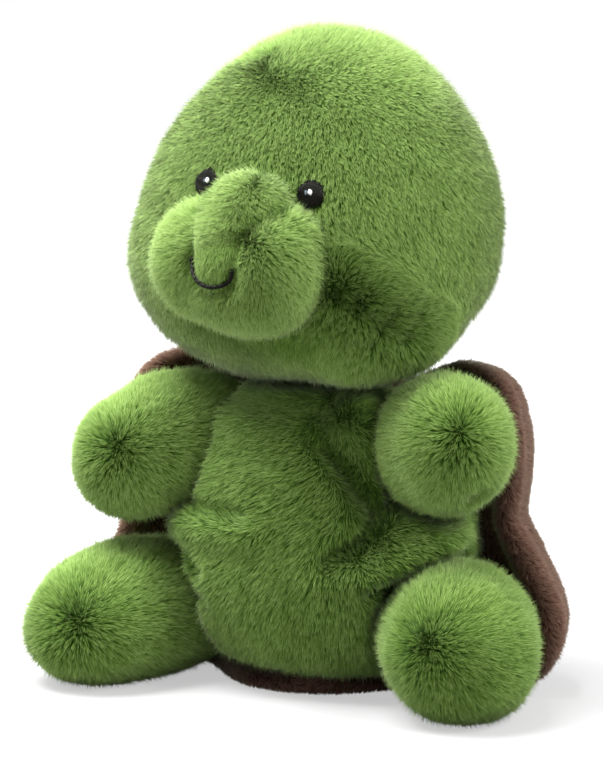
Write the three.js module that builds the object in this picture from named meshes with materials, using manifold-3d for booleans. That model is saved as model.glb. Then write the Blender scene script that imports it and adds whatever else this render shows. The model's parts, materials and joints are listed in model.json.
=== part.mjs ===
// Seated plush turtle with a stuffed brown shell, in millimetres. The toy faces -Y, its left side is
// +X and +Z is up. The origin is on the floor, below the middle of the belly.
import * as THREE from 'three';
import { mergeVertices } from 'three/addons/utils/BufferGeometryUtils.js';
import { ConvexGeometry } from 'three/addons/geometries/ConvexGeometry.js';
import Module from 'manifold-3d';

// Fabrics and clearances
const pileWall = 4;            // green faux fur: backing and pile together
const shellWall = 2.6;         // brown short plush: backing and pile together
const seamGap = 0.3;           // between pieces that are sewn or pressed together
const jointGap = 0.4;          // round everything that turns
const floorCut = 1.7;          // how deep a soft form is pressed flat by the floor
const overrun = 30;            // how far a cutting form runs past what it cuts

// Torso
const torsoX = 2;
const torsoY = -4;
const bellyHeight = 44;        // height of the widest level
const torsoHalfWidth = 60;
const torsoHalfDepth = 43;
const torsoCrown = 74;         // from the widest level up to the neck
const torsoSeat = 44;          // from the widest level down to the seat
const pouchHeight = 26;        // top of the pellet pouch in the seat

// Head
const neckY = -3;
const neckHeight = 108;
const neckRadius = 14;         // ball of stuffing that fills both neck openings
const headShift = -6.4;        // of the egg's middle from the face's, towards the toy's right
const headHalfWidth = 69.5;
const headHalfDepth = 60;
const headCrown = 83;          // from the widest level up to the top
const headJowl = 46;           // from the widest level down to the neck
const headYaw = -8;            // degrees, towards the toy's right
const headLean = 7;            // degrees, the face looks up a little
const headRoll = 3;            // degrees, the crown tips to the toy's left
const nodRange = 8;
const turnRange = 20;

// Muzzle: two cheeks and a chin, then the bridge that runs down to the beak
const cheekSpread = 15;
const cheekForward = 51;
const cheekDrop = 5;
const cheekHalfWidth = 20;
const cheekHalfDepth = 24;
const cheekHalfHeight = 21;
const chinForward = 49;
const chinDrop = 11;
const chinHalfWidth = 23;
const chinHalfDepth = 22;
const chinHalfHeight = 16;
const bridgeForward = 66;
const bridgeRise = 9;
const bridgeHalfWidth = 12.5;
const bridgeHalfThick = 9.5;
const bridgeHalfLength = 24;
const bridgeTilt = 26;         // degrees from upright, the lower end forward

// Embroidery
const eyeSpread = 21;
const eyeRise = 22.8;
const eyeHalfWidth = 4.9;
const eyeHalfHeight = 5.2;
const eyeProud = 1.4;          // how far the satin stitch stands up
const glintRadius = 1.5;
const glintShift = 1.1;
const glintProud = 0.7;
const mouthHalfWidth = 9;
const mouthHeight = 8;
const mouthDrop = 5;
const mouthThread = 1.5;       // width of the stitched line

// Arms
const shoulderX = 46;
const shoulderY = -7;
const shoulderDrop = 18;       // below the neck joint
const shoulderHeight = neckHeight - shoulderDrop;
const armRootRadius = 23;
const armTipRadius = 23.5;
const armLength = 24;          // from the joint to the centre of the rounded tip
const armSwell = 2.5;
const armWidthShare = 0.93;
const armLeftOut = 40;         // degrees outward from straight ahead
const armRightOut = 45;
const armLeftRise = 10;
const armRightRise = -14;
const armLower = 10;
const armRaise = 20;

// Legs
const hipX = 57;
const hipY = -8;
const legRootRadius = 25;
const legTipRadius = 27;
const legLength = 34;
const legSwell = 2.2;
const legOut = 26;
const legIn = 10;
const legSplay = 12;

// Shell
const shellX = -2;
const shellOverHip = 33;       // from the hip joint out to the middle of the rim
const shellHalfWidth = hipX + shellOverHip;
const shoulderRise = 12;       // the rim's middle at the shoulders, above the neck joint
const shellHeight = neckHeight + shoulderRise;
const rimRadius = 5;
const shellBack = 60;          // how far back the dome reaches
const liningBack = 37;
const domeApexHeight = 38;
const domeFullness = 2.2;      // exponent of the dome's side profile
const liningFullness = 1.9;    // the lining is rounder, so the padding is thickest behind the rim

// Facets round and along the forms
const headColumns = 24;
const headRows = 14;
const torsoRows = 12;
const puffColumns = 14;        // muzzle and bridge
const puffRows = 10;
const liningColumns = 12;      // faces that a cover hides
const liningRows = 8;
const padColumns = 12;
const padRows = 6;
const neckColumns = 20;
const neckRows = 12;
const limbColumns = 16;
const sweepColumns = 10;       // of a space that a moving piece takes
const hollowColumns = 8;
const mouthSteps = 10;
const rimSteps = 48;
const rimSides = 8;
const shellColumns = 30;
const weldDistance = 1e-5;     // vertices closer than this are one

const wasm = await Module();
wasm.setup();
const radians = THREE.MathUtils.degToRad;
const xAxis = new THREE.Vector3(1, 0, 0);
const zAxis = new THREE.Vector3(0, 0, 1);

// Closed geometry to solid, with faces of no area dropped
function solid(geometry) {
  const bare = geometry.clone();
  bare.deleteAttribute('normal');
  bare.deleteAttribute('uv');
  const merged = mergeVertices(bare, weldDistance);
  const kept = [];
  for (let i = 0; i < merged.index.count; i += 3) {
    const [a, b, c] = [0, 1, 2].map((k) => merged.index.getX(i + k));
    if (a !== b && b !== c && c !== a) kept.push(a, b, c);
  }
  const vertProperties = new Float32Array(merged.attributes.position.array);
  return new wasm.Manifold(new wasm.Mesh({ numProp: 3, vertProperties, triVerts: new Uint32Array(kept) }));
}

function geometryOf(manifold) {
  const mesh = manifold.getMesh();
  const geometry = new THREE.BufferGeometry();
  geometry.setAttribute('position', new THREE.BufferAttribute(mesh.vertProperties, 3));
  geometry.setIndex(new THREE.BufferAttribute(mesh.triVerts, 1));
  geometry.computeVertexNormals();
  return geometry;
}

function cut(body, ...tools) {
  return tools.reduce((left, tool) => left.subtract(tool), body);
}

function fabric(color, roughness = 0.95) {
  return new THREE.MeshStandardMaterial({ color, roughness, metalness: 0 });
}

const greenFur = () => fabric(0x6a8743);
const brownPlush = () => fabric(0x5b4236);
const fibrefill = () => fabric(0xf1efe8);
const blackThread = () => fabric(0x16140f, 0.5);
const whiteThread = () => fabric(0xf4f4f0, 0.5);

function piece(name, manifold, material) {
  const mesh = new THREE.Mesh(geometryOf(manifold), material);
  mesh.name = name;
  return mesh;
}

// Everything under the floor, in world places or in a group's own
function floorBlock(level, inverse = new THREE.Matrix4()) {
  const side = 2 * (shellHalfWidth + overrun);
  const block = new THREE.BoxGeometry(side, side, overrun);
  block.translate(0, 0, level - overrun / 2);
  return solid(block.applyMatrix4(inverse));
}

// An ellipsoid, as the base of every puffed form
function ball(radii, columns, rows) {
  const sphere = new THREE.SphereGeometry(1, columns, rows);
  sphere.rotateX(Math.PI / 2);
  return sphere.scale(...radii);
}

// An egg whose widest level is at zero, taller above it than below
function egg(halfWidth, halfDepth, up, down, grow, columns, rows) {
  const form = ball([1, 1, 1], columns, rows);
  const spots = form.attributes.position;
  for (let i = 0; i < spots.count; i += 1) {
    const high = spots.getZ(i) > 0 ? up + grow : down + grow;
    spots.setXYZ(i, spots.getX(i) * (halfWidth + grow), spots.getY(i) * (halfDepth + grow),
      spots.getZ(i) * high);
  }
  return form;
}

// Head
const headGroup = new THREE.Group();
headGroup.position.set(0, neckY, neckHeight);
headGroup.rotation.set(radians(-headLean), radians(headRoll), radians(headYaw), 'ZXY');
headGroup.updateMatrix();

function headForm(grow, columns = headColumns, rows = headRows) {
  const form = egg(headHalfWidth, headHalfDepth, headCrown, headJowl, grow, columns, rows);
  return form.translate(headShift, 0, headJowl);
}

// A place on the front of the head, from how far it is to the side and above the widest level
function headFront(side, rise, grow) {
  const tall = rise > 0 ? headCrown : headJowl;
  const across = side - headShift;
  const level = Math.sqrt(1 - (rise / tall) ** 2 - (across / headHalfWidth) ** 2);
  const normal = new THREE.Vector3(across / headHalfWidth ** 2, -level / headHalfDepth, rise / tall ** 2);
  normal.normalize();
  const spot = new THREE.Vector3(side, -headHalfDepth * level, headJowl + rise);
  return { spot: spot.addScaledVector(normal, grow), normal };
}

function neckBall(grow) {
  const radius = neckRadius + grow;
  return ball([radius, radius, radius], neckColumns, neckRows);
}

// The space that the head takes while it nods and turns
function headSweep(grow, columns, rows) {
  const points = [];
  const low = headForm(grow, columns, rows).attributes.position;
  for (const nod of [-nodRange, 0, nodRange]) {
    for (const turn of [-turnRange, 0, turnRange]) {
      const move = new THREE.Matrix4().makeTranslation(0, neckY, neckHeight)
        .multiply(new THREE.Matrix4().makeRotationX(radians(nod)))
        .multiply(new THREE.Matrix4().makeRotationZ(radians(turn)))
        .multiply(new THREE.Matrix4().makeTranslation(0, -neckY, -neckHeight))
        .multiply(headGroup.matrix);
      for (let i = 0; i < low.count; i += 1) {
        if (low.getZ(i) > headJowl) continue;
        points.push(new THREE.Vector3().fromBufferAttribute(low, i).applyMatrix4(move));
      }
    }
  }
  return solid(new ConvexGeometry(points));
}

function headPieces() {
  const skin = cut(solid(headForm(0)), solid(headForm(-pileWall)), solid(neckBall(jointGap)));
  const filling = cut(solid(headForm(-pileWall - seamGap)), solid(neckBall(jointGap)));
  return [piece('head_cover', skin, greenFur()), piece('head_stuffing', filling, fibrefill())];
}

// Two cheeks and a chin joined into one puffed form
function muzzleForm(grow, columns = puffColumns, rows = puffRows) {
  const cheekRadii = [cheekHalfWidth + grow, cheekHalfDepth + grow, cheekHalfHeight + grow];
  const chinRadii = [chinHalfWidth + grow, chinHalfDepth + grow, chinHalfHeight + grow];
  const cheeks = [-cheekSpread, cheekSpread].map((side) => solid(
    ball(cheekRadii, columns, rows).translate(side, -cheekForward, headJowl - cheekDrop)));
  const chin = ball(chinRadii, columns, rows).translate(0, -chinForward, headJowl - chinDrop);
  return cheeks[0].add(cheeks[1]).add(solid(chin));
}

function bridgeForm(grow) {
  const radii = [bridgeHalfWidth, bridgeHalfThick, bridgeHalfLength].map((radius) => radius + grow);
  const form = ball(radii, puffColumns, puffRows);
  form.rotateX(-radians(bridgeTilt));
  return solid(form.translate(0, -bridgeForward, headJowl + bridgeRise));
}

function muzzlePieces() {
  const headTool = solid(headForm(seamGap));
  const skin = cut(muzzleForm(0), muzzleForm(-pileWall, liningColumns, liningRows), headTool);
  const filling = cut(muzzleForm(-pileWall - seamGap, liningColumns, liningRows), headTool);
  const bridge = cut(bridgeForm(0), muzzleForm(seamGap), headTool);
  return [piece('muzzle_cover', skin, greenFur()), piece('muzzle_stuffing', filling, fibrefill()),
    piece('nose_bridge', bridge, greenFur())];
}

// Satin-stitch eye: a low oval pad on the cover, with a dot of white thread on it
function eyePad(side, grow, shift, radii) {
  const { spot, normal } = headFront(side, eyeRise, shift);
  const pad = ball(radii.map((radius) => radius + grow), padColumns, padRows);
  const turn = new THREE.Quaternion().setFromUnitVectors(zAxis, normal);
  return solid(pad.applyQuaternion(turn).translate(spot.x, spot.y, spot.z));
}

function eyePieces() {
  const headTool = solid(headForm(seamGap));
  const padRadii = [eyeHalfWidth, eyeHalfHeight, eyeProud];
  return [['left', 1], ['right', -1]].flatMap(([word, sign]) => {
    const pad = eyePad(sign * eyeSpread, 0, seamGap, padRadii);
    const around = eyePad(sign * eyeSpread, seamGap, seamGap, padRadii);
    const glint = eyePad(sign * eyeSpread - glintShift, 0, eyeProud + seamGap,
      [glintRadius, glintRadius, glintProud]);
    return [piece(`eye_${word}`, cut(pad, headTool, muzzleForm(seamGap)), blackThread()),
      piece(`eye_glint_${word}`, cut(glint, around), whiteThread())];
  });
}

// The front of the muzzle at a place beside and below its middle
function muzzleFront(side, rise) {
  const humps = [
    [-cheekSpread, cheekForward, -cheekDrop, cheekHalfWidth, cheekHalfDepth, cheekHalfHeight],
    [cheekSpread, cheekForward, -cheekDrop, cheekHalfWidth, cheekHalfDepth, cheekHalfHeight],
    [0, chinForward, -chinDrop, chinHalfWidth, chinHalfDepth, chinHalfHeight],
  ];
  const reaches = humps.map(([x, forward, z, halfWidth, halfDepth, halfHeight]) => {
    const left = 1 - ((side - x) / halfWidth) ** 2 - ((rise - z) / halfHeight) ** 2;
    return left > 0 ? forward + halfDepth * Math.sqrt(left) : 0;
  });
  return -Math.max(...reaches);
}

// Smile stitched under the beak, laid on the chin
function mouthPiece() {
  const radius = mouthThread / 2;
  const points = Array.from({ length: mouthSteps + 1 }, (_, i) => {
    const angle = Math.PI * (1 + i / mouthSteps);
    const side = mouthHalfWidth * Math.cos(angle);
    const rise = -mouthDrop + mouthHeight * Math.sin(angle);
    return new THREE.Vector3(side, muzzleFront(side, rise) - radius, headJowl + rise);
  });
  const section = new THREE.Shape().absarc(0, 0, radius, 0, 2 * Math.PI);
  const line = new THREE.ExtrudeGeometry(section, {
    steps: 2 * mouthSteps, curveSegments: 2, extrudePath: new THREE.CatmullRomCurve3(points),
  });
  const stitch = cut(solid(line), muzzleForm(seamGap), bridgeForm(seamGap));
  return piece('mouth_stitch', stitch, blackThread());
}

// Limbs: a sack turned about its own length, with a ball at the joint and a rounded swollen tip
const sackShares = [0.3, 0.6];

function limbForm({ rootRadius, tipRadius, length, swell, widthShare }, grow, columns = limbColumns) {
  const profile = [];
  const arcs = Math.round(columns / 4);
  for (let i = 0; i <= arcs; i += 1) {
    const angle = (Math.PI / 2) * (i / arcs - 1);
    profile.push(new THREE.Vector2((rootRadius + grow) * Math.cos(angle),
      (rootRadius + grow) * Math.sin(angle)));
  }
  for (const share of sackShares) {
    const radius = THREE.MathUtils.lerp(rootRadius, tipRadius, share) + swell * Math.sin(Math.PI * share);
    profile.push(new THREE.Vector2(radius + grow, length * share));
  }
  for (let i = 0; i <= arcs; i += 1) {
    const angle = (Math.PI / 2) * (i / arcs);
    profile.push(new THREE.Vector2((tipRadius + grow) * Math.cos(angle),
      length + (tipRadius + grow) * Math.sin(angle)));
  }
  profile[0].x = 0;
  profile[profile.length - 1].x = 0;
  const form = new THREE.LatheGeometry(profile, columns);
  return form.rotateX(Math.PI).scale(widthShare, 1, 1);
}

function limb(name, sizes, place, out, rise) {
  const group = new THREE.Group();
  group.position.copy(place);
  group.rotation.set(radians(-rise), 0, radians(out), 'ZXY');
  group.updateMatrix();
  return { name, sizes, group, out };
}

const armSizes = {
  rootRadius: armRootRadius, tipRadius: armTipRadius, length: armLength, swell: armSwell,
  widthShare: armWidthShare,
};
const legSizes = {
  rootRadius: legRootRadius, tipRadius: legTipRadius, length: legLength, swell: legSwell, widthShare: 1,
};
const hipHeight = legTipRadius - floorCut;
const limbs = [
  { side: 1, word: 'left', out: armLeftOut, rise: armLeftRise },
  { side: -1, word: 'right', out: armRightOut, rise: armRightRise },
].flatMap(({ side, word, out, rise }) => {
  const shoulder = new THREE.Vector3(side * shoulderX, shoulderY, shoulderHeight);
  const hip = new THREE.Vector3(side * hipX, hipY, hipHeight);
  return [
    { ...limb(`arm_${word}`, armSizes, shoulder, side * out, rise), kind: 'arm', side },
    { ...limb(`leg_${word}`, legSizes, hip, side * legOut, 0), kind: 'leg', side },
  ];
});

// The space that a limb takes over its range: arms about a level axis across them, legs about an
// upright one
function limbSweep({ sizes, group, out, kind, side }, grow, columns) {
  const facetSlack = (sizes.tipRadius + grow) * (1 / Math.cos(Math.PI / columns) - 1);
  const spots = limbForm(sizes, grow + facetSlack, columns).attributes.position;
  const axis = kind === 'arm' ? xAxis.clone().negate().applyAxisAngle(zAxis, radians(out)) : zAxis;
  const [low, high] = kind === 'arm' ? [-armLower, armRaise] : [-side * legIn, side * legSplay];
  const points = [];
  for (const angle of [low, (low + high) / 2, high]) {
    const turn = new THREE.Quaternion().setFromAxisAngle(axis, radians(angle));
    for (let i = 0; i < spots.count; i += 1) {
      const spot = new THREE.Vector3().fromBufferAttribute(spots, i).applyQuaternion(group.quaternion);
      points.push(spot.applyQuaternion(turn).add(group.position));
    }
  }
  return solid(new ConvexGeometry(points));
}

function limbPieces({ name, sizes, group, kind }) {
  const openingRadius = sizes.rootRadius / 2;
  const opening = new THREE.CylinderGeometry(openingRadius, openingRadius, sizes.rootRadius, padColumns);
  opening.translate(0, sizes.rootRadius, 0);
  const floor = floorBlock(0, group.matrix.clone().invert());
  const under = floorBlock(pileWall, group.matrix.clone().invert());
  let skin = solid(limbForm(sizes, 0));
  let core = solid(limbForm(sizes, -pileWall, liningColumns));
  let filling = solid(limbForm(sizes, -pileWall - seamGap, liningColumns));
  if (kind === 'leg') {
    skin = cut(skin, floor);
    core = cut(core, under);
    filling = cut(filling, floorBlock(pileWall + seamGap, group.matrix.clone().invert()));
  }
  group.add(piece(`${name}_cover`, cut(skin, core, solid(opening)), greenFur()));
  group.add(piece(`${name}_stuffing`, filling, fibrefill()));
  return group;
}

// Shell: half of the outline of its rim, from the middle of the top down to the middle of the seat,
// as shares of the shell's half width, of its height and, towards the back, of the torso's half depth
const rimShares = [
  [0, 0.8, 1.05], [0.31, 0.83, 0.88], [0.64, 0.95, 0.3], [0.76, 0.92, 0.18], [0.835, 0.8, 0.14],
  [0.85, 0.66, 0.14], [0.82, 0.54, 0.14], [0.81, 0.45, 0.13], [0.885, 0.35, 0.16], [0.95, 0.26, 0.18],
  [0.97, 0.17, 0.18], [0.9, 0.06, 0.24], [0.68, 0, 0.44], [0.44, 0, 0.16], [0.29, 0, -0.3],
  [0.14, 0, -0.54], [0, 0, -0.58],
];
const rimLow = rimRadius - floorCut;

function rimPoints() {
  const side = (sign, shares) => shares.map(([x, z, y]) => new THREE.Vector3(
    shellX + sign * x * shellHalfWidth, y * torsoHalfDepth, rimLow + z * (shellHeight - rimLow)));
  return [...side(1, rimShares), ...side(-1, rimShares.slice(1, -1).reverse())];
}

const rimCurve = new THREE.CatmullRomCurve3(rimPoints(), true, 'centripetal');

function rimTube(grow) {
  return solid(new THREE.TubeGeometry(rimCurve, rimSteps, rimRadius + grow, rimSides, true));
}

// A dome behind the rim's outline: closed in front, rounded to its apex at the back
const depthShares = [0, 0.36, 0.6, 0.8, 0.95];

function shellForm(grow, back, fullness, frontRun = 0) {
  const columns = shellColumns;
  const outline = rimCurve.getSpacedPoints(columns).slice(0, columns);
  const middle = rimLow + (shellHeight - rimLow) / 2;
  const tall = (shellHeight - rimLow) / 2;
  const start = rimRadius / 2;
  const rings = depthShares.map((depthShare) => {
    const inset = (1 - depthShare ** fullness) ** (1 / fullness);
    return outline.map((p) => {
      const wide = (p.x - shellX) * (1 + grow / shellHalfWidth);
      const high = middle + (p.z - middle) * (1 + grow / tall);
      return new THREE.Vector3(shellX + wide * inset, THREE.MathUtils.lerp(p.y + start, back, depthShare),
        domeApexHeight + (high - domeApexHeight) * inset);
    });
  });
  if (frontRun > 0) rings.unshift(rings[0].map((p) => new THREE.Vector3(p.x, p.y - frontRun, p.z)));
  const points = rings.flat();
  points.push(...[-frontRun, back].map((y) => new THREE.Vector3(shellX, y, domeApexHeight)));
  const [front, apex] = [points.length - 2, points.length - 1];
  const last = (rings.length - 1) * columns;
  const index = [];
  for (let c = 0; c < columns; c += 1) {
    const next = (c + 1) % columns;
    index.push(front, next, c, apex, last + c, last + next);
    for (let row = 0; row < last; row += columns) {
      index.push(row + c, row + columns + next, row + columns + c, row + c, row + next, row + columns + next);
    }
  }
  const form = new THREE.BufferGeometry().setFromPoints(points);
  form.setIndex(index);
  return solid(form);
}

const shellHalfThick = rimRadius;

function shellPieces() {
  const rimTool = rimTube(seamGap);
  const inner = shellHalfThick - shellWall;
  const liningFace = (grow) => shellForm(grow - shellHalfThick, liningBack + grow, liningFullness, overrun);
  const cover = cut(shellForm(shellHalfThick, shellBack, domeFullness),
    shellForm(inner, shellBack - shellWall, domeFullness, overrun), rimTool, floorBlock(0));
  const filling = cut(shellForm(inner - seamGap, shellBack - shellWall - seamGap, domeFullness),
    liningFace(shellWall + seamGap), rimTool);
  const lining = cut(shellForm(-inner, liningBack + shellWall, liningFullness), liningFace(0), rimTool);
  return [
    piece('shell_cover', cover, brownPlush()),
    piece('shell_stuffing', filling, fibrefill()),
    piece('shell_lining', lining, fabric(0x38291f)),
    piece('shell_rim', cut(rimTube(0), floorBlock(0)), brownPlush()),
  ];
}

// The shell as a cutting form: all its layers, and nothing of the space that it holds
function shellEnvelope(grow) {
  return cut(shellForm(shellHalfThick + grow, shellBack, domeFullness, 2 * rimRadius),
    shellForm(-shellHalfThick - grow, liningBack - grow, liningFullness, overrun));
}

function torsoForm(grow) {
  const form = egg(torsoHalfWidth, torsoHalfDepth, torsoCrown, torsoSeat, grow, headColumns, torsoRows);
  return solid(form.translate(torsoX, torsoY, bellyHeight));
}

// Torso: a cover with a dimple for each limb, open at the neck, round its filling and pellet pouch
function torsoPieces() {
  const around = (gap, columns, headFacets = []) => [
    ...limbs.map((one) => limbSweep(one, gap, columns)), headSweep(gap, ...headFacets), shellEnvelope(gap),
  ];
  const neck = solid(neckBall(jointGap).translate(0, neckY, neckHeight));
  const pouchTop = floorBlock(pouchHeight);
  const seat = 2 * rimRadius + pileWall;
  const coarse = [2 * hollowColumns, hollowColumns];
  const room = cut(torsoForm(-pileWall), ...around(seamGap + pileWall, hollowColumns, coarse),
    floorBlock(seat));
  const inside = cut(torsoForm(-pileWall - seamGap),
    ...around(3 * seamGap + pileWall, hollowColumns, coarse), floorBlock(seat + 3 * seamGap));
  const skin = cut(torsoForm(0), ...around(jointGap, sweepColumns), rimTube(jointGap), floorBlock(rimRadius),
    room, neck);
  return [
    piece('torso_cover', skin, greenFur()),
    piece('torso_stuffing', cut(inside, floorBlock(pouchHeight + seamGap), neck), fibrefill()),
    piece('bean_pouch', inside.intersect(pouchTop), fabric(0xd8d2c4)),
  ];
}

const turtle = new THREE.Group();
turtle.add(...torsoPieces(), ...shellPieces());
const neckPiece = piece('neck_stuffing', solid(neckBall(0)), fibrefill());
neckPiece.position.set(0, neckY, neckHeight);
turtle.add(neckPiece);
headGroup.add(...headPieces(), ...muzzlePieces(), ...eyePieces(), mouthPiece());
turtle.add(headGroup, ...limbs.map(limbPieces));
export default turtle;
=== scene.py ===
import json
import math

import bmesh
import bpy
import numpy as np
from mathutils import Matrix, Vector
from mathutils.bvhtree import BVHTree


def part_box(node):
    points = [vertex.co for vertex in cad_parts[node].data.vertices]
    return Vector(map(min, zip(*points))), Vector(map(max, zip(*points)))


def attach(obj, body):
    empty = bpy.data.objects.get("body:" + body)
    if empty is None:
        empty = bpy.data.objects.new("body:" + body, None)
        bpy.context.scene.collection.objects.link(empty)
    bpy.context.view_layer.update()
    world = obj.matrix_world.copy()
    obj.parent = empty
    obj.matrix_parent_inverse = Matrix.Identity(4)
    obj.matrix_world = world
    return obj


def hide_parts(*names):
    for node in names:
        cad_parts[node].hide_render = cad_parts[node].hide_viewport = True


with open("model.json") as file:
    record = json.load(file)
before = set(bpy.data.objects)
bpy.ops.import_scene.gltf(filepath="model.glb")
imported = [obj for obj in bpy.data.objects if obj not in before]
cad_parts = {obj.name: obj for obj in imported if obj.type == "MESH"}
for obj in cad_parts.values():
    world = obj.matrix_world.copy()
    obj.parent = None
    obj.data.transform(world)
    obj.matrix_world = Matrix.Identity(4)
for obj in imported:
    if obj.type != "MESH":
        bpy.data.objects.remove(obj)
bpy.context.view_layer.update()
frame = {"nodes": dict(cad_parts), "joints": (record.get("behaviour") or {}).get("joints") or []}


# Torso. The real piece is one sewn skin of faux fur over polyester filling, with a pellet bag in the
# seat. It is slack at the waist, so it folds there, and the limbs and head are sewn to it.

mm = 0.001


def linear(colour):
    """sRGB hex, as a linear colour with alpha."""
    shares = [int(colour[i:i + 2], 16) / 255 for i in (1, 3, 5)]
    return (*[c / 12.92 if c <= 0.04045 else ((c + 0.055) / 1.055) ** 2.4 for c in shares], 1.0)


def add(tree, kind, settings=(), **links):
    """Adds a node with its settings, and joins or sets its inputs by name."""
    made = tree.nodes.new(kind)
    for key, value in dict(settings).items():
        setattr(made, key, value)
    for key, value in links.items():
        socket = made.inputs[int(key[1:])] if key[0] == "_" else made.inputs[key.replace("_", " ")]
        if isinstance(value, bpy.types.NodeSocket):
            tree.links.new(value, socket)
        else:
            socket.default_value = value
    return made


def ramp(tree, value, stops):
    """A colour ramp over value, from (place, colour) stops."""
    made = add(tree, "ShaderNodeValToRGB", _0=value)
    while len(made.color_ramp.elements) < len(stops):
        made.color_ramp.elements.new(0.5)
    for element, (place, colour) in zip(made.color_ramp.elements, stops, strict=True):
        element.position, element.color = place, linear(colour)
    return made.outputs["Color"]


def cloth_material(name, roughness, sheen, sheen_tint):
    """A plain fabric surface, and the tree and shader to give it a colour."""
    material = bpy.data.materials.new(name)
    material.use_nodes = True
    tree = material.node_tree
    shader = tree.nodes["Principled BSDF"]
    shader.inputs["Roughness"].default_value = roughness
    shader.inputs["Specular IOR Level"].default_value = 0.12
    shader.inputs["Sheen Weight"].default_value = sheen
    shader.inputs["Sheen Roughness"].default_value = 0.5
    shader.inputs["Sheen Tint"].default_value = linear(sheen_tint)
    return material, tree, shader


def faux_fur(name, root, middle, tip, deep, dusk, sheen=0.45):
    """Faux fur, as cut pile: darker at the roots, partly as painted shade between the fibres, paler at the
    tips, matt, with a soft sheen.
    """
    material, tree, shader = cloth_material(name, 0.85, sheen, "#e9efd2")
    along = add(tree, "ShaderNodeAttribute", {"attribute_name": "along"}).outputs["Fac"]
    tone_and_shade = add(tree, "ShaderNodeAttribute", {"attribute_name": "tone_and_shade"}).outputs["Fac"]
    bright = ramp(tree, along, [(0.0, root), (0.45, middle), (1.0, tip)])
    # Fibres of low tone take this darker ramp: tone differs at random, and painted shade lowers it further
    dark_and_shaded = ramp(tree, along, [(0.0, deep), (0.5, dusk), (1.0, middle)])
    mixed = add(tree, "ShaderNodeMix", {"data_type": "RGBA"}, _0=tone_and_shade, _6=dark_and_shaded, _7=bright)
    tree.links.new(mixed.outputs[2], shader.inputs["Base Color"])
    return material


def fur_backing(name, dark, light, pitch):
    """The knitted backing that fibres stand on, seen only between them: its dark colour is partly its own
    and partly painted shade.
    """
    material, tree, shader = cloth_material(name, 0.95, 0.0, light)
    place = add(tree, "ShaderNodeTexCoord").outputs["Object"]
    loops = add(tree, "ShaderNodeTexNoise", Vector=place, Scale=1 / pitch, Detail=2.0).outputs["Fac"]
    tree.links.new(ramp(tree, loops, [(0.35, dark), (0.7, light)]), shader.inputs["Base Color"])
    return material


def piece(name, points, faces, material):
    """A mesh object from arrays of points and of faces, smooth shaded."""
    mesh = bpy.data.meshes.new(name)
    points, faces = np.asarray(points, np.float32), np.asarray(faces, np.int32)
    sides = faces.shape[1]
    mesh.vertices.add(len(points))
    mesh.vertices.foreach_set("co", points.ravel())
    mesh.loops.add(faces.size)
    mesh.loops.foreach_set("vertex_index", faces.ravel())
    mesh.polygons.add(len(faces))
    mesh.polygons.foreach_set("loop_start", np.arange(0, faces.size, sides, dtype=np.int32))
    mesh.update(calc_edges=True)
    mesh.polygons.foreach_set("use_smooth", np.ones(len(faces), bool))
    mesh.materials.append(material)
    made = bpy.data.objects.new(name, mesh)
    bpy.context.scene.collection.objects.link(made)
    return made


def surface_of(obj):
    """(points, triangles, vertex normals) of an object's mesh."""
    mesh = obj.data
    mesh.calc_loop_triangles()
    points = np.empty(len(mesh.vertices) * 3, np.float32)
    normals = np.empty(len(mesh.vertices) * 3, np.float32)
    corners = np.empty(len(mesh.loop_triangles) * 3, np.int32)
    mesh.vertices.foreach_get("co", points)
    mesh.vertex_normals.foreach_get("vector", normals)
    mesh.loop_triangles.foreach_get("vertices", corners)
    return points.reshape(-1, 3).astype(float), corners.reshape(-1, 3), normals.reshape(-1, 3).astype(float)


def unit(vectors):
    """Vectors of the same ways, each of length 1."""
    return vectors / np.maximum(np.linalg.norm(vectors, axis=-1, keepdims=True), 1e-12)


def tree_of(*objects):
    """A search tree over the surfaces of some objects."""
    points, faces, count = [], [], 0
    for obj in objects:
        own, corners, _ = surface_of(obj)
        points.append(own)
        faces.append(corners + count)
        count += len(own)
    return BVHTree.FromPolygons(np.concatenate(points).tolist(), np.concatenate(faces).tolist())


def round_grid(level):
    """Directions spread evenly over a sphere, the triangles between them and each one's neighbours."""
    made = bmesh.new()
    bmesh.ops.create_icosphere(made, subdivisions=level, radius=1.0)
    directions = unit(np.array([v.co for v in made.verts]))
    faces = np.array([[v.index for v in f.verts] for f in made.faces])
    edges = np.array([[v.index for v in e.verts] for e in made.edges])
    made.free()
    return directions, faces, edges


def eased(values, edges, times):
    """Values smoothed over a grid by averaging along its edges."""
    values = np.array(values, float)
    count = np.bincount(edges.ravel(), minlength=len(values)).astype(float)
    shape = (-1,) + (1,) * (values.ndim - 1)
    for _ in range(times):
        total = np.zeros_like(values)
        np.add.at(total, edges[:, 0], values[edges[:, 1]])
        np.add.at(total, edges[:, 1], values[edges[:, 0]])
        values = 0.5 * values + 0.5 * total / count.reshape(shape)
    return values


def reach(tree, centre, directions, far=0.3):
    """How far the outermost surface lies from the centre along each direction, or 0 where there is none."""
    found = np.zeros(len(directions))
    for i, way in enumerate(directions):
        start = Vector(centre + way * far)
        hit = tree.ray_cast(start, Vector(-way), far)
        found[i] = far - hit[3] if hit[0] is not None else 0.0
    return found


def wave(points, pitch, seed):
    """Smooth noise from -1 to 1 with features about pitch wide, alike on every run."""
    rng = np.random.default_rng(seed)
    wave_count, highest = 6, 3.5
    total = np.zeros(len(points))
    for _ in range(wave_count):
        way = unit(rng.normal(size=3)) * 2 * math.pi / pitch * rng.uniform(0.6, 1.4)
        total += np.sin(points @ way + rng.uniform(0, 2 * math.pi))
    return total / highest


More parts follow.
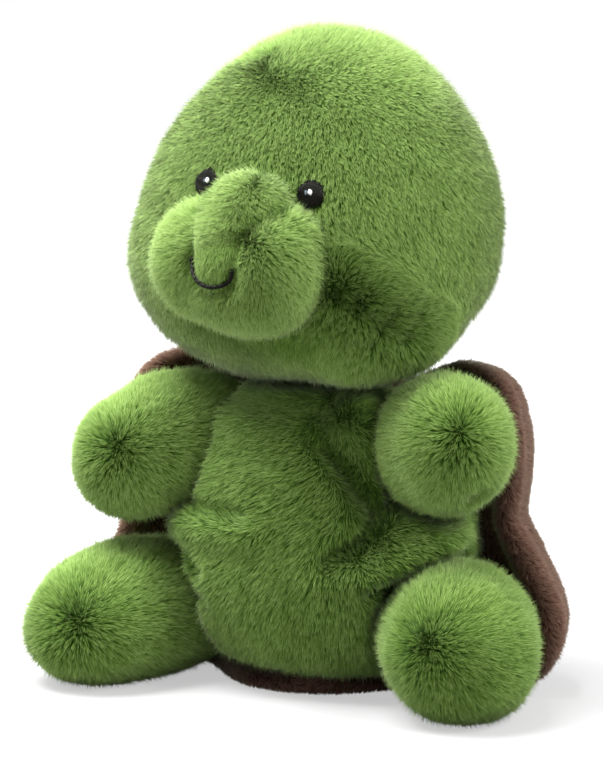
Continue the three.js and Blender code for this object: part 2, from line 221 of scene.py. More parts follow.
def tufts(points, pitch, seed):
    """The middle of the tuft that each point belongs to, and three numbers from 0 to 1 for that tuft.

    Every cell of a grid holds one tuft, and its place is mixed into six numbers, alike on every run.
    """
    cell = np.floor(points / pitch).astype(int)
    best = np.full(len(points), np.inf)
    middle, numbers = np.zeros_like(points), np.zeros_like(points)
    for shift in np.ndindex(3, 3, 3):
        near = cell + np.array(shift) - 1
        mix = (near * np.array([73856093, 19349663, 83492791])).sum(1) + seed * 2654435761
        draws = []
        for turn in range(6):
            mix = (mix * 1103515245 + 12345 + turn) & 0x7FFFFFFF
            mix ^= mix >> 15
            draws.append((mix & 0xFFFF) / 0xFFFF)
        spot = (near + np.stack(draws[:3], 1)) * pitch
        off = ((points - spot) ** 2).sum(1)
        closer = off < best
        best[closer], middle[closer] = off[closer], spot[closer]
        numbers[closer] = np.stack(draws[3:], 1)[closer]
    return middle, numbers


tuft_pitch = 1.5 * mm
# A share of the fibres is longer, finer, paler and straighter than the rest, and makes the soft outline
guard_share, guard_long, guard_thick, guard_tilt, guard_tone = 0.12, 1.3, 0.65, 0.75, 0.35
# How bright fibres are on average, and how much that differs by tuft, by fibre and slowly over the skin
mean_tone, tuft_tone, fibre_tone, broad_tone = 0.56, 0.25, 0.75, 0.1
standing = 45     # degrees: a fibre that leans less than this counts as standing up
root_sink = 0.2 * mm


def pile(name, skin, material, count, length, width, nap, lean, seed, keep=None, shade=None, stray=0.2):
    """Cut pile on a skin: bundles of fibres as three-sided spikes, which lean together in tufts.

    nap gives the way that the pile lies at each root, lean its angle from upright in degrees, keep
    the share of the length that grows there and shade how much darker its colour is painted there, as
    painted shade.
    """
    rng = np.random.default_rng(seed)
    points, corners, normals = surface_of(skin)
    a, b, c = (points[corners[:, k]] for k in range(3))
    area = np.linalg.norm(np.cross(b - a, c - a), axis=1)
    face = rng.choice(len(area), count, p=area / area.sum())
    u, v = rng.random((2, count))
    flip = u + v > 1
    u[flip], v[flip] = 1 - u[flip], 1 - v[flip]
    weights = np.stack([1 - u - v, u, v], 1)[:, :, None]
    root = (points[corners[face]] * weights).sum(1)
    normal = unit((normals[corners[face]] * weights).sum(1))
    share = np.ones(count) if keep is None else keep(root, normal)
    grown = share > 0.05
    root, normal, share = root[grown], normal[grown], share[grown]
    count = len(root)

    def laid(ways):
        return unit(ways - (ways * normal).sum(1, keepdims=True) * normal)

    spot, draws = tufts(root, tuft_pitch, seed)
    tilt = lean(root, normal) if callable(lean) else np.full(count, float(lean))
    loose = stray * (1 + 5.0 * np.clip(1 - tilt / standing, 0, 1))[:, None]
    way = laid(laid(nap(root, normal)) + (draws - 0.5) * 2 * loose + rng.normal(0, 0.13, (count, 3)))
    tilt = np.radians(np.clip(tilt + rng.normal(0, 6, count) + 5 * (draws[:, 0] - 0.5), 2, 80))
    long = length * share * rng.uniform(0.76, 1.06, count) * (0.95 + 0.1 * draws[:, 1])
    guard = rng.random(count) < guard_share
    long = np.where(guard, long * guard_long, long)
    tilt = np.where(guard, tilt * guard_tilt, tilt)
    tip = root + (np.cos(tilt)[:, None] * normal + np.sin(tilt)[:, None] * way) * long[:, None]
    pull = (spot - root) - ((spot - root) * normal).sum(1, keepdims=True) * normal
    tip += pull * (0.2 + 0.3 * np.clip(1 - tilt / math.radians(standing), 0, 1))[:, None]
    line = unit(tip - root)
    side = unit(np.cross(line, normal) + 1e-9)
    over = np.cross(side, line)
    thick = (width * rng.uniform(0.75, 1.15, count) * np.where(guard, guard_thick, 1))[:, None]
    start = rng.uniform(0, 2 * math.pi, count)
    corners, ways = [], []
    for corner in range(3):
        angle = (start + corner * 2 * math.pi / 3)[:, None]
        out = np.cos(angle) * side + np.sin(angle) * over
        corners.append(root - normal * root_sink + out * thick)
        ways.append(unit(0.6 * normal + 0.6 * out))
    corners.append(tip)
    ways.append(unit(0.8 * normal + 0.4 * over))
    first = np.arange(count)[:, None] * 4
    faces = np.concatenate([first + [1, 0, 3], first + [2, 1, 3], first + [0, 2, 3]])
    made = piece(name, np.stack(corners, 1).reshape(-1, 3), faces, material)

    tone_and_shade = mean_tone + tuft_tone * (draws[:, 2] - 0.5) + fibre_tone * (rng.random(count) - 0.5)
    tone_and_shade += broad_tone * wave(root, 14 * mm, seed)
    tone_and_shade += guard_tone * guard
    # Painted shade lowers the tone where shade falls, and a negative shade raises it, as painted light
    tone_and_shade = np.clip(tone_and_shade if shade is None else tone_and_shade - shade(root, normal), 0, 1)
    step = np.tile([0.0, 0.0, 0.0, 1.0], count)
    for title, values in (("along", step), ("tone_and_shade", np.repeat(tone_and_shade, 4))):
        layer = made.data.attributes.new(title, "FLOAT", "POINT")
        layer.data.foreach_set("value", values.astype(np.float32))
    chart = np.stack([np.repeat(0.02 + 0.96 * tone_and_shade, 4) + np.tile([-0.01, 0.01, 0, 0], count), step], 1)
    corner = np.empty(len(made.data.loops), np.int32)
    made.data.loops.foreach_get("vertex_index", corner)
    made.data.uv_layers.new(name="OFBake").data.foreach_set("uv", chart[corner].astype(np.float32).ravel())
    made.data.normals_split_custom_set_from_vertices(np.stack(ways, 1).reshape(-1, 3).astype(np.float32))
    return made


green_fur = faux_fur("acrylic_faux_fur_green", "#446521", "#749b3a", "#bfdd86", "#2a4413", "#42641b")
green_backing = fur_backing("knitted_backing_green", "#3a5619", "#4b6c25", 1.2 * mm)
coarse_grid, fine_grid = round_grid(6), round_grid(7)
fur_length, fibre_width = 4.6 * mm, 0.27 * mm
fur_depth = 2.4 * mm


def sack(name, nodes, grid, ease, inset, material, body, centre=None, shape=None):
    """The backing of a stuffed piece, just inside the outer surface of its nodes, which it replaces."""
    centre = np.array(sum(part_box(nodes[0]), Vector()) / 2) if centre is None else np.array(centre)
    ways, faces, edges = grid
    far = eased(reach(tree_of(*[frame["nodes"][node] for node in nodes]), centre, ways), edges, ease)
    points = centre + ways * (far - inset)[:, None]
    if shape is not None:
        points = shape(points, ways)
    made = piece(name, points, faces, material)
    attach(made, body)
    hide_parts(*nodes)
    return made


def wear(made, body, slot):
    """A piece that rides a body. The slot is not used."""
    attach(made, body)
    return made


def line_distance(points, line):
    """How far each point lies from a broken line, in the plane of both."""
    best = np.full(len(points), np.inf)
    for start, end in zip(line[:-1], line[1:]):
        start, run = np.array(start), np.array(end) - np.array(start)
        share = np.clip(((points - start) @ run) / (run @ run), 0, 1)
        best = np.minimum(best, np.linalg.norm(points - start - share[:, None] * run, axis=1))
    return best


# Folds of the slack front, as (height, width, line) with the line's places across and up, all in mm
torso_folds = [
    (6.5, 6.5, [(64, 62), (54, 59), (44, 54), (33, 49)]),
    (-9.0, 3.4, [(72, 58), (58, 53), (46, 48), (36, 43.5)]),
    (-6.5, 3.6, [(10, 98), (17, 91), (25, 84), (31, 76), (38, 69)]),
    (-5.0, 4.0, [(38, 69), (33, 60), (22, 53)]),
    (5.5, 7.0, [(22, 100), (35, 88), (46, 75), (58, 66)]),
    (-3.0, 3.0, [(66, 42), (54, 44), (42, 39)]),
    (-4.5, 3.5, [(-44, 67), (-28, 66), (-12, 66)]),
    (3.0, 5.0, [(-42, 59), (-24, 60), (-6, 60)]),
    (-4.0, 3.0, [(-46, 52), (-38, 49), (-31, 44)]),
    (-3.0, 3.0, [(-44, 42), (-36, 39), (-30, 33)]),
]
# Where its pile parts, and the way that it lies: each mark is a place and a way, across and up, in mm
torso_partings = [
    [(10, 98), (17, 91), (25, 84), (31, 76), (38, 69)], [(38, 69), (33, 60), (22, 53)],
    [(72, 58), (58, 53), (46, 48), (36, 43.5)], [(-44, 67), (-28, 66), (-12, 66)],
    [(20, 104), (34, 101), (46, 98)], [(-46, 52), (-38, 49), (-31, 44)], [(54, 44), (42, 39)],
]
torso_flow = [
    ((-30, 95), (-0.3, -1)), ((-5, 95), (-0.6, -0.8)), ((-25, 75), (-0.5, -0.85)),
    ((5, 80), (-0.7, -0.7)), ((18, 74), (-0.7, -0.6)), ((-25, 50), (-0.45, -0.9)),
    ((8, 55), (-0.55, -0.85)), ((-15, 30), (-0.2, -1)), ((15, 30), (-0.05, -1)), ((35, 30), (0.1, -1)),
    ((26, 90), (0.75, -0.6)), ((36, 82), (0.85, -0.5)), ((44, 70), (1, -0.35)), ((54, 62), (1, -0.1)),
    ((44, 60), (0.8, -0.6)), ((33, 52), (0.4, -0.9)), ((50, 43), (0.8, -0.5)), ((40, 100), (0.5, -0.85)),
]


def fold_torso(points, ways):
    """The folds of the front, and the filling's soft unevenness all round."""
    front = np.clip(-ways[:, 1] * 3, 0, 1)
    flat = points[:, [0, 2]] / mm
    rise = 0
    for high, wide, line in torso_folds:
        rise = rise + high * np.exp(-(line_distance(flat, line) / wide) ** 2)
    rise = rise * front + 0.7 * wave(points, 34 * mm, 3)
    return points + ways * (rise * mm)[:, None]


torso_middle = (0.002, -0.004, 0.06)
torso_skin = sack("torso_cover_skin", ["torso_cover", "torso_stuffing", "bean_pouch"], fine_grid, ease=14,
                  inset=fur_depth, material=green_backing, body="torso", centre=torso_middle,
                  shape=fold_torso)


def flow(flat, marks, spread):
    """The way that pile lies at places of a plane, from marks, the nearer ones counting more."""
    total = np.zeros_like(flat)
    for place, way in marks:
        weight = np.exp(-((flat - place) ** 2).sum(1) / spread ** 2) + 1e-6
        total += weight[:, None] * unit(np.array(way, float))
    return unit(total)


def parted(flat, partings, spread):
    """How near places of a plane are to a parting, from 0 to 1."""
    return sum(np.exp(-(line_distance(flat, line) / spread) ** 2) for line in partings).clip(0, 1)


def torso_nap(root, normal):
    """As the marks say in front, and straight down at the sides and back."""
    ways = flow(root[:, [0, 2]] / mm, torso_flow, 12)
    front = np.clip(-normal[:, 1] * 2, 0, 1)[:, None]
    in_front = np.stack([ways[:, 0], 0 * ways[:, 0], ways[:, 1]], 1)
    return in_front * front + np.array([0, 0, -1.0]) * (1 - front)


# Degrees from upright where the pile lies down, and how much less it leans at a parting
torso_lie, torso_stand = 54, 42


def torso_lean(root, normal):
    near = parted(root[:, [0, 2]] / mm, torso_partings, 3.5) * (normal[:, 1] < 0)
    return torso_lie - torso_stand * near


# Under the toy's right arm, at this place across and up in mm, the pile is darkened as painted shadow
waist_shadow_place = np.array([-42, 68])
# How much darker the pile is painted, as painted shade: at the partings, under the right arm and all over
# the torso
parting_painted_shade, waist_painted_shadow, torso_painted_shade = 0.7, 0.35, 0.14


def torso_shade(root, normal):
    flat = root[:, [0, 2]] / mm
    under_arm_shade = np.exp(-(np.linalg.norm((flat - waist_shadow_place) * [0.7, 1.3], axis=1) / 10) ** 2)
    front = parting_painted_shade * parted(flat, torso_partings, 3.0) + waist_painted_shadow * under_arm_shade
    return front * (normal[:, 1] < 0) + torso_painted_shade


torso_pile = pile("torso_pile", torso_skin, green_fur, 185000, fur_length, fibre_width, torso_nap,
                  torso_lean, seed=11, shade=torso_shade)
wear(torso_pile, "torso", "green_fur")


# Neck. The openings of torso and head are sewn together over a ball of filling. The seam is drawn in
# under the jowl, so that only a narrow band of fur shows.

neck_low, neck_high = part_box("neck_stuffing")
neck_middle = np.array((neck_low + neck_high) / 2)
neck_ways, neck_faces, _ = round_grid(5)
neck_pad_middle, neck_radii = np.array([2, -4, 94]) * mm, np.array([42, 29, 13]) * mm
neck_skin = piece("neck_seam_skin", neck_pad_middle + neck_ways * neck_radii, neck_faces, green_backing)
wear(neck_skin, "neck", "green_fur")
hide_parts("neck_stuffing")
neck_pile = pile("neck_seam_pile", neck_skin, green_fur, 20000, fur_length, fibre_width, torso_nap,
                 lean=50, seed=15, shade=torso_shade)
wear(neck_pile, "neck", "green_fur")


# Head. The real piece is a skin of faux fur, sewn from three panels and stuffed until it is a tight egg.
# Its pile is short and lies down the forehead and off to its left.

# How much fuller the outline is than an egg, by its bearing seen from the front left, in degrees and mm
head_fullness = [
    (-90, 0), (-60, -1), (-36, -4.2), (-18, -1), (0, 1.2), (20, 1.2), (40, 0.2), (70, 1), (98, 0.8),
    (115, -0.6), (137, -1), (158, 0.3), (180, 0.8), (200, 3.8), (220, 4.8), (240, 3), (270, 0),
]
head_middle = np.array([-4.4, 7.6, 172]) * mm
view_side = math.radians(25)
view_right = np.array([math.cos(view_side), math.sin(view_side), 0])
view_back = np.array([math.sin(view_side), -math.cos(view_side), 0.14])
view_up = np.array([0, 0, 1.0])
# Where the jowl hangs: places, how wide each is and how far it sags, in mm
jowl_lobes = [((27, -29, 121), 19, (0.6, -2, -6)), ((50, -16, 122), 17, (2, -1, -5))]


def fill_head(points, ways):
    """The fuller outline, where the surface turns away from the front left, and the hanging jowl."""
    off = points - head_middle
    bearing = np.degrees(np.arctan2(off @ view_up, off @ view_right))
    bearing = np.where(bearing < -90, bearing + 360, bearing)
    rise = np.interp(bearing, *zip(*head_fullness))
    edge = np.clip(1.25 - np.abs(ways @ unit(view_back)) * 1.5, 0, 1)
    turn = np.radians(bearing)[:, None]
    out = np.cos(turn) * view_right + np.sin(turn) * view_up
    points = points + out * (rise * edge * mm)[:, None]
    for place, wide, push in jowl_lobes:
        lobe = np.exp(-(np.linalg.norm(points - np.array(place) * mm, axis=1) / (wide * mm)) ** 2)
        points = points + lobe[:, None] * np.array(push) * mm
    return points


head_fur_depth = 3.1 * mm
head_skin = sack("head_cover_skin", ["head_cover", "head_stuffing"], fine_grid, ease=30,
                 inset=head_fur_depth, material=green_backing, body="head", shape=fill_head)

# The jowl's pile stands up round this line, and falls away from it on all sides
jowl_line = np.array([[50, -33, 126], [42, -40, 130], [34, -45, 138], [27, -48, 143]]) * mm
jowl_nap_reach, jowl_lean_reach, jowl_dull_reach = 24 * mm, 16 * mm, 17 * mm


def from_jowl(root):
    """The way from the jowl's line to each root, and how far it is."""
    ways = np.stack([root - spot for spot in jowl_line], 1)
    far = np.linalg.norm(ways, axis=2)
    near = far.argmin(1)
    return ways[np.arange(len(root)), near], far.min(1)


crown_parting = 219 * mm     # about this height the pile turns from the forehead back over the crown


def crown_share(root, wide):
    """How far a root is up the crown, from 0 to 1, over a band that is wide mm high."""
    up = (root[:, 2] - crown_parting + 4 * mm * wave(root, 24 * mm, 77)) / (wide * mm) + 0.5
    return np.clip(up, 0, 1) ** 2 * (3 - 2 * np.clip(up, 0, 1))


def head_nap(root, normal):
    """Down the forehead and off to its left, and away all round from the jowl."""
    away, far = from_jowl(root)
    near = np.exp(-(far / jowl_nap_reach) ** 2)[:, None]
    side = 0.36 + 0.19 * np.clip(root[:, 0] / (60 * mm), -1, 1)
    down = np.stack([side, crown_share(root, 34) * 1.4 - 0.5, np.full(len(root), -0.8)], 1)
    down += 0.1 * np.stack([wave(root, 26 * mm, 70 + k) for k in range(3)], 1)
    return down * (1 - near) + unit(away) * near


head_lie, head_stand = 58, 44


def head_lean(root, normal):
    return head_lie - head_stand * np.exp(-(from_jowl(root)[1] / jowl_lean_reach) ** 2)


# Under the muzzle the pile is darkened as painted shadow, along this line, across and up, in mm
chin_shadow = [(-28, 134), (-8, 129), (12, 130)]
# How much darker the pile is painted, as painted shade, round the jowl, under the muzzle and on the crown,
# and how much lighter over the whole head, as painted light
jowl_painted_shade, chin_painted_shadow, crown_painted_shade, head_painted_light = 0.34, 0.55, 0.25, -0.04


def head_shade(root, normal):
    from_chin = line_distance(root[:, [0, 2]] / mm, chin_shadow)
    under = np.exp(-(from_chin / 7) ** 2) * (root[:, 1] < -30 * mm)
    crown = crown_share(root, 20) * np.clip(0.5 - root[:, 1] / (30 * mm), 0, 1)
    jowl = np.exp(-(from_jowl(root)[1] / jowl_dull_reach) ** 2)
    return jowl_painted_shade * jowl + chin_painted_shadow * under + crown_painted_shade * crown + head_painted_light


# The bare oval reaches this far, in half heights of an eye, and the pile is clipped to this share of its
# length round a place that lies a little above the eye's middle
eye_bare, eye_clipped, clip_shift = 1.16, 0.35, [-0.8 * mm, 0, 1.4 * mm]


def eye_room(root, normal):
    """No pile grows under the embroidered eyes, and it is clipped short above them."""
    share = np.ones(len(root))
    for side in ("left", "right"):
        low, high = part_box(f"eye_{side}")
        middle, half = np.array((low + high) / 2), (high.z - low.z) / 2
        away = np.linalg.norm(root - middle, axis=1) / half
        above = np.linalg.norm(root - middle - clip_shift, axis=1) / half
        clipped = np.clip(eye_clipped + (above - 1.1) / 0.8, eye_clipped, 1)
        share = np.minimum(share, np.where(away < eye_bare, 0, clipped))
    return share


# The head's pile is two pieces, which meet in this plane, behind the head's middle
head_split = 22 * mm


def half_of(front):
    """The rule that keeps only the pile in front of the plane, or only the pile behind it."""
    def keep(root, normal):
        share = eye_room(root, normal)
        return np.where((root[:, 1] < head_split) == front, share, 0)
    return keep


for word, front, count, seed in (("front", True, 480000, 21), ("back", False, 260000, 22)):
    made = pile(f"head_pile_{word}", head_skin, green_fur, count, fur_length, fibre_width, head_nap,
                head_lean, seed, half_of(front), head_shade)
    wear(made, "head", "green_fur")


# Muzzle. Two puffed cheeks and a chin of the same fur are sewn on to the head's front over their own
# filling, and a narrow bridge runs down between them to a short flap, the beak.

# The head looks a little to its right, up and aslant: how far it is turned about each axis, in degrees
look_aside, look_up, look_aslant = -8, -7, 3
head_turn = Matrix.Rotation(math.radians(look_aside), 3, "Z")
head_turn = head_turn @ Matrix.Rotation(math.radians(look_up), 3, "X")
head_turn = np.array(head_turn @ Matrix.Rotation(math.radians(look_aslant), 3, "Y"))
to_face = head_turn @ np.array([0.0, 1.0, 0.0])     # straight into the face from in front


def on_head(places):
    """Places in mm in the head's own frame, from the neck joint, as world places in metres."""
    return np.atleast_2d(places) * mm @ head_turn.T + neck_middle


def to_head(points):
    """World places as places in mm in the head's own frame."""
    return (points - neck_middle) @ head_turn / mm


def puffs(name, forms, voxel, ease):
    """Ellipsoids of the head's frame, joined into one closed form with soft creases between them.

    Each form is (middle, radii, tilt): tilt turns it about the side axis, in degrees.
    """
    ways, faces, _ = round_grid(5)
    points, corners = [], []
    for middle, radii, tilt in forms:
        c, s = math.cos(math.radians(tilt)), math.sin(math.radians(tilt))
        turned = (ways * radii) @ np.array([[1, 0, 0], [0, c, s], [0, -s, c]])
        corners.append(faces + sum(len(p) for p in points))
        points.append(on_head(turned + middle))
    rough = piece(name, np.concatenate(points), np.concatenate(corners), green_backing)
    joined = rough.modifiers.new("joined", "REMESH")
    joined.mode, joined.voxel_size, joined.use_smooth_shade = "VOXEL", voxel, True
    soft = rough.modifiers.new("soft", "SMOOTH")
    soft.factor, soft.iterations = 0.5, ease
    whole = bpy.data.meshes.new_from_object(rough.evaluated_get(bpy.context.evaluated_depsgraph_get()))
    rough.modifiers.clear()
    rough.data = whole
    rough.data.name = name
    wear(rough, "head", "green_fur")
    return rough


# The left and right cheek, the puff above the left one, what lies between them and the chin
cheek_forms = [
    ((11, -51, 42.5), (15, 19.5, 19), 0), ((-17, -50, 42), (18.5, 20, 19.5), 0),
    ((13.5, -51.5, 53), (11, 11, 8.5), 0), ((0, -54.5, 43), (17, 17, 15.5), 0),
    ((-1, -50, 33.5), (24, 19, 13.5), 0),
]
muzzle_skin = puffs("muzzle_cover_skin", cheek_forms, voxel=1.1 * mm, ease=8)
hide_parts("muzzle_cover", "muzzle_stuffing")
# The hump between the eyes, from its top down, and the beak
bridge_forms = [
    ((0.5, -55.5, 60.5), (13.8, 12, 11.5), -30), ((-1, -59, 57.5), (13.2, 11, 10.5), -32),
    ((-2.2, -63, 52.5), (11.8, 8.5, 9), -25), ((-2.6, -68, 44), (9.4, 5.6, 13), -4),
]
bridge_skin = puffs("nose_bridge_skin", bridge_forms, voxel=0.8 * mm, ease=26)
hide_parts("nose_bridge")

# Creases between the bridge and the cheeks, in the head's frame, across and up, in mm
face_partings = [[(17, 66), (14, 63), (10, 59), (6, 54)], [(-9.5, 67), (-13, 57)]]
# How much darker the pile is painted in the creases, as painted shade, and how much lighter on the whole
# face, as painted light
crease_painted_shade, face_painted_light = 0.7, -0.05


def face_depth(root, normal):
    """How near a root is to one of the creases, from 0 to 1."""
    return parted(to_head(root)[:, [0, 2]], face_partings, 2.8)


def face_shade(root, normal):
    return crease_painted_shade * face_depth(root, normal) + face_painted_light


# The cheeks' pile starts beside the beak: its middle across, how far its sides lie from that, and its top
beak_middle, beak_half, beak_top = -3.5, 6, 55


def cheek_nap(root, normal):
    """Out from the beak's two sides over the cheeks, and down the chin."""
    spot = to_head(root)
    beak_side = beak_middle + beak_half * np.tanh((spot[:, 0] - beak_middle) / beak_half)
    away = np.stack([spot[:, 0] - beak_side, np.zeros(len(root)), spot[:, 2] - beak_top], 1)
    return away @ head_turn.T


cheek_lie, hump_lie, beak_lie, crease_stand = 44, 54, 70, 18


def cheek_lean(root, normal):
    return cheek_lie - crease_stand * face_depth(root, normal)


# Which way the bridge's pile lies, at places across and up in the head's frame, in mm
bridge_flow = [
    ((0, 80), (-0.25, -0.9)), ((-9, 78), (-0.6, -0.7)), ((10, 78), (0.5, -0.8)), ((-1, 70), (-0.25, -1)),
    ((-7, 66), (-0.6, -0.8)), ((-9, 55), (-0.7, -0.7)), ((-3, 58), (-0.4, -1)), ((5, 64), (0.3, -0.95)),
    ((11, 67), (0.8, -0.6)), ((5, 56), (0.3, -1)), ((-4, 48), (-0.02, -1)), ((-4, 38), (0, -1)),
    ((3, 46), (0, -1)),
]


def bridge_nap(root, normal):
    """Down the hump and off both its sides, and straight down the beak."""
    ways = flow(to_head(root)[:, [0, 2]], bridge_flow, 5)
    return np.stack([ways[:, 0], 0 * ways[:, 0], ways[:, 1]], 1) @ head_turn.T


def front_only(root, normal):
    """Pile grows only where a puff isn't sewn down on the head."""
    return np.where(normal[:, 1] < 0.45, 1.0, 0.0)


# The mouth is half an oval round the beak's end: sizes in mm in the head's frame
mouth_centre, mouth_half_width, mouth_middle, mouth_deep, mouth_slope = -2.8, 9.0, 41.8, 8.6, -0.15
mouth_lift = 2.2     # mm over the skin, so that the pile round it doesn't hide it
mouth_turns = np.linspace(math.pi * 1.02, math.pi * 1.98, 40)
mouth_across = mouth_half_width * np.cos(mouth_turns)
mouth_plan = np.stack([mouth_across, mouth_middle + mouth_deep * np.sin(mouth_turns)], 1)
mouth_plan += np.stack([np.full(len(mouth_turns), mouth_centre), mouth_slope * mouth_plan[:, 0]], 1)
face_tree = tree_of(muzzle_skin, bridge_skin)
mouth_line = []
for x, z in mouth_plan:
    hit = face_tree.ray_cast(Vector(on_head((x, -110, z))[0]), Vector(to_face), 0.1)
    mouth_line.append(np.array(hit[0]) - to_face * mouth_lift * mm)
mouth_line = np.array(mouth_line)


def mouth_room(root, normal):
    """Pile is short beside the mouth's stitches, and none grows on the hidden sides."""
    share = front_only(root, normal)
    near = np.full(len(root), np.inf)
    for spot in mouth_line:
        near = np.minimum(near, np.linalg.norm(root - spot, axis=1))
    return share * np.clip(0.3 + (near - 2.2 * mm) / (2.5 * mm), 0.2, 1)


def muzzle_room(root, normal):
    """Under the beak the cheeks' pile is pressed flat."""
    spot = to_head(root)
    beak = np.linalg.norm((spot[:, [0, 2]] - [-2.6, 45]) / [9.0, 12.0], axis=1)
    return mouth_room(root, normal) * np.clip((beak - 0.72) / 0.5, 0.12, 1)


def beak_share(root):
    """How much a root belongs to the beak, the flap below the hump, from 0 to 1."""
    spot = to_head(root)
    return np.clip((55 + 0.25 * spot[:, 0] - spot[:, 2]) / 10, 0, 1)


def bridge_length(root, normal):
    return mouth_room(root, normal) * (1 - beak_share(root))


def beak_length(root, normal):
    return mouth_room(root, normal) * beak_share(root)


def bridge_lean(root, normal):
    return hump_lie - crease_stand * face_depth(root, normal)


# The hump, and the beak more, are painted lighter than the face, as painted light
def bridge_shade(root, normal):
    return face_shade(root, normal) - 0.14 - 0.06 * beak_share(root)


muzzle_pile = pile("muzzle_pile", muzzle_skin, green_fur, 110000, fur_length, fibre_width, cheek_nap,
                   cheek_lean, seed=31, keep=muzzle_room, shade=face_shade)
bridge_pile = pile("bridge_pile", bridge_skin, green_fur, 50000, 4.2 * mm, fibre_width, bridge_nap,
                   bridge_lean, seed=32, keep=bridge_length, shade=bridge_shade)
beak_pile = pile("beak_pile", bridge_skin, green_fur, 30000, 3.6 * mm, 0.2 * mm, bridge_nap,
                 beak_lie, seed=33, keep=beak_length, shade=bridge_shade, stray=0.06)
for made in (muzzle_pile, bridge_pile, beak_pile):
    wear(made, "head", "green_fur")


# Eyes and mouth. Both are embroidered on the covers before stuffing: each eye is an oval of black satin
# stitch with a glint of white thread, and the mouth is one line of black back stitches.

black_thread, tree, shader = cloth_material("rayon_thread_black", 0.42, 0.1, "#5a5a5a")
shader.inputs["Base Color"].default_value = linear("#15140f")
white_thread, tree, shader = cloth_material("rayon_thread_white", 0.42, 0.1, "#ffffff")
shader.inputs["Base Color"].default_value = linear("#f2f3f1")
grey_thread, tree, shader = cloth_material("rayon_thread_grey", 0.42, 0.1, "#ffffff")
shader.inputs["Base Color"].default_value = linear("#76838f")


def threads(name, lines, radius, material, sides=6):
    """Threads laid along lines, each a thin round tube that narrows into the cloth at both ends."""
    points, faces = [], []
    for line in lines:
        line = np.array(line)
        run = unit(np.gradient(line, axis=0))
        side = unit(np.cross(run, [0.13, 0.31, 0.94]))
        over = np.cross(run, side)
        share = np.linspace(0, 1, len(line))
        thick = radius * np.clip(np.minimum(share, 1 - share) * 8, 0.35, 1)
        turn = np.linspace(0, 2 * math.pi, sides, endpoint=False)
        tube = line[:, None] + thick[:, None, None] * (np.cos(turn)[None, :, None] * side[:, None]
                                                       + np.sin(turn)[None, :, None] * over[:, None])
        faces.append(ring_faces(len(line), sides, False) + sum(len(p) for p in points))
        points.append(tube.reshape(-1, 3))
    return piece(name, np.concatenate(points), np.concatenate(faces), material)


def ring_faces(rows, columns, wrap):
    """Quads between rows of points, each row closed into a ring."""
    row, column = np.meshgrid(np.arange(rows), np.arange(columns), indexing="ij")
    row, column = row.ravel(), column.ravel()
    after = (row + 1) % rows if wrap else row + 1
    if not wrap:
        keep = row < rows - 1
        row, column, after = row[keep], column[keep], after[keep]
    beside = (column + 1) % columns
    low, high = row * columns, after * columns
    return np.stack([low + column, low + beside, high + beside, high + column], 1)


satin_pitch = 0.4 * mm


def satin_oval(name, spot, normal, slant, sizes, material, seed):
    """Satin stitch: threads side by side across an oval, padded up in its middle.

    sizes are its half width, its half height, how proud its middle stands and the thread's radius, in mm.
    """
    rng = np.random.default_rng(seed)
    slant = math.radians(slant)
    half_width, half_height, proud, radius = (size * mm for size in sizes)
    up = head_turn @ np.array([math.sin(slant), 0.0, math.cos(slant)])
    up = unit(up - (up @ normal) * normal)
    side = np.cross(up, normal)
    lines = []
    for place in np.arange(-half_width + satin_pitch / 2, half_width, satin_pitch):
        chord = half_height * math.sqrt(max(0.0, 1 - (place / half_width) ** 2))
        chord = max(chord + rng.uniform(-0.3, 0.3) * mm, 0.6 * mm)
        share = np.linspace(-1, 1, 11)[:, None]
        dome = np.sqrt(np.clip(1 - (place / half_width) ** 2 * 0.9 - share ** 2 * 0.8, 0, 1)) * proud
        middle = spot + side * (place + rng.normal(0, 0.04) * mm)
        lines.append(middle + up * share * chord + normal * dome)
    return threads(name, lines, radius, material)


# An eye's ovals: the slant in degrees and the sizes, then how far the oval lies off the skin, aside and up
eye_ovals = [
    ("eye", black_thread, 8, (4.9, 5.3, 1.5, 0.27), (1.2, 0, 0), 61),
    ("eye_glint", white_thread, -25, (0.8, 1.0, 0.4, 0.22), (2.55, 0, 0.4), 62),
    ("eye_shade", grey_thread, -10, (0.5, 1.2, 0.3, 0.2), (2.45, -1.5, 0.2), 63),
]
glint_asides = {"left": 0.0, "right": 1.6}     # in mm, for the glint and the shade beside it

head_tree = tree_of(head_skin)
for side, glint_aside in glint_asides.items():
    middle = np.array(sum(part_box(f"eye_{side}"), Vector()) / 2)
    found, normal, _, _ = head_tree.find_nearest(Vector(middle))
    middle, normal = np.array(found), np.array(normal)
    across = unit(np.cross(np.array([0.0, 0.0, 1.0]), normal))
    for title, thread, slant, sizes, (off, aside, up), seed in eye_ovals:
        aside += 0 if title == "eye" else glint_aside
        place = middle + (normal * off + across * aside + np.array([0, 0, up])) * mm
        oval = satin_oval(f"{title}_{side}", place, normal, slant, sizes, thread, seed)
        wear(oval, "head", "black_thread" if title == "eye" else "white_thread")
        if title != "eye_shade":
            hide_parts(f"{title}_{side}")

stitch_count, stitch_lap = 12, 0.25
stitch_rise, stitch_radius = 0.35 * mm, 0.7 * mm
stitches = []
for number in range(stitch_count):
    start = max(0.0, (number - stitch_lap) / stitch_count)
    end = min(1.0, (number + 1 + stitch_lap) / stitch_count)
    at = np.linspace(start, end, 7) * (len(mouth_line) - 1)
    line = np.stack([np.interp(at, np.arange(len(mouth_line)), mouth_line[:, k]) for k in range(3)], 1)
    rise = np.sin(np.linspace(0, math.pi, 7)) * stitch_rise
    stitches.append(line - to_face * rise[:, None])
mouth = threads("mouth_stitch", stitches, stitch_radius, black_thread, 8)
wear(mouth, "head", "black_thread")
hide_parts("mouth_stitch")


# Arms and legs. Each is a sack of fur over filling, sewn to the torso at its root and gathered at its
# tip, where the pile parts into a whorl.

